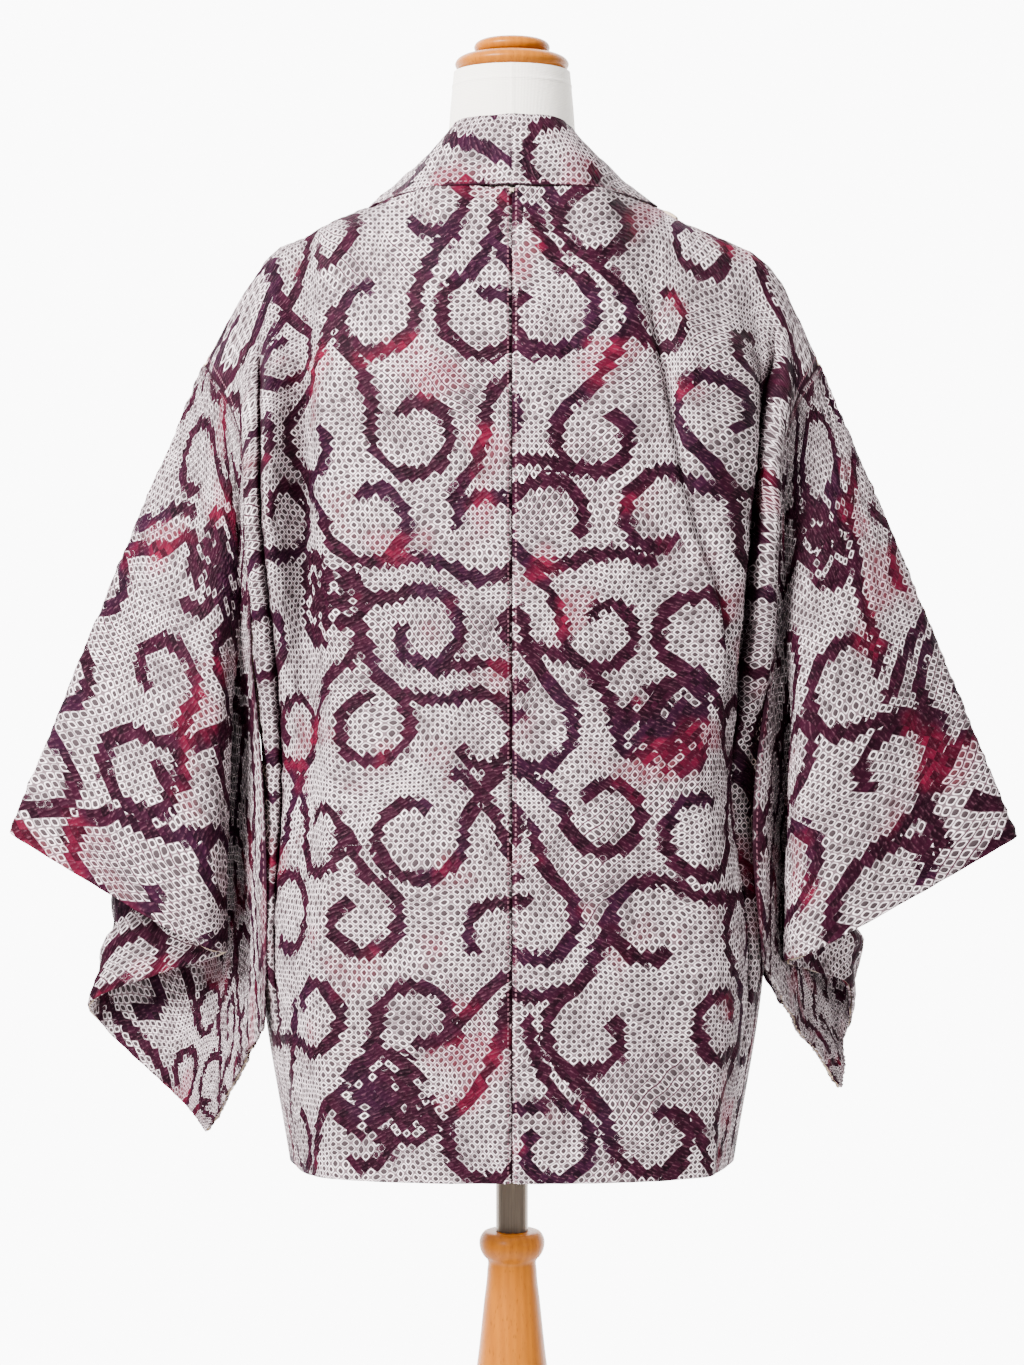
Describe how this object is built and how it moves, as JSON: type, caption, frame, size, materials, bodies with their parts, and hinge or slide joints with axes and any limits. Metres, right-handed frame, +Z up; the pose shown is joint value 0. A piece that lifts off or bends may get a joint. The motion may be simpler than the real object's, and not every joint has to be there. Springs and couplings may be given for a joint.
{
  "type": "haori kimono jacket on dress form stand",
  "caption": "Hip-length kimono jacket with wide hanging sleeves and a band collar, worn open on a limbless dress form on a turned stand.",
  "frame": {"origin": "centre of the base's underside, on the floor", "axes": "+Z up; the haori's open front faces +Y and its back faces -Y; +X is the wearer's right"},
  "size_m": [0.7778, 0.4, 1.4465],
  "materials": {
    "silk": "soft tie-dyed silk with raised dots, off-white and plum",
    "silk_collar": "the same silk, folded into a band",
    "linen": "matt natural linen over padding",
    "turned_wood": "satin lacquered beech",
    "pole_steel": "brushed steel tube with a brown tone"
  },
  "bodies": {
    "root": {"body_left": "silk", "body_right": "silk", "gusset_left": "silk", "gusset_right": "silk", "collar_left": "silk_collar", "collar_right": "silk_collar", "sleeve_left": "silk", "sleeve_right": "silk", "form_body": "linen", "cap_lower": "turned_wood", "cap_upper": "turned_wood", "pole": "pole_steel", "pillar": "turned_wood", "base": "turned_wood"}
  },
  "joints": []
}
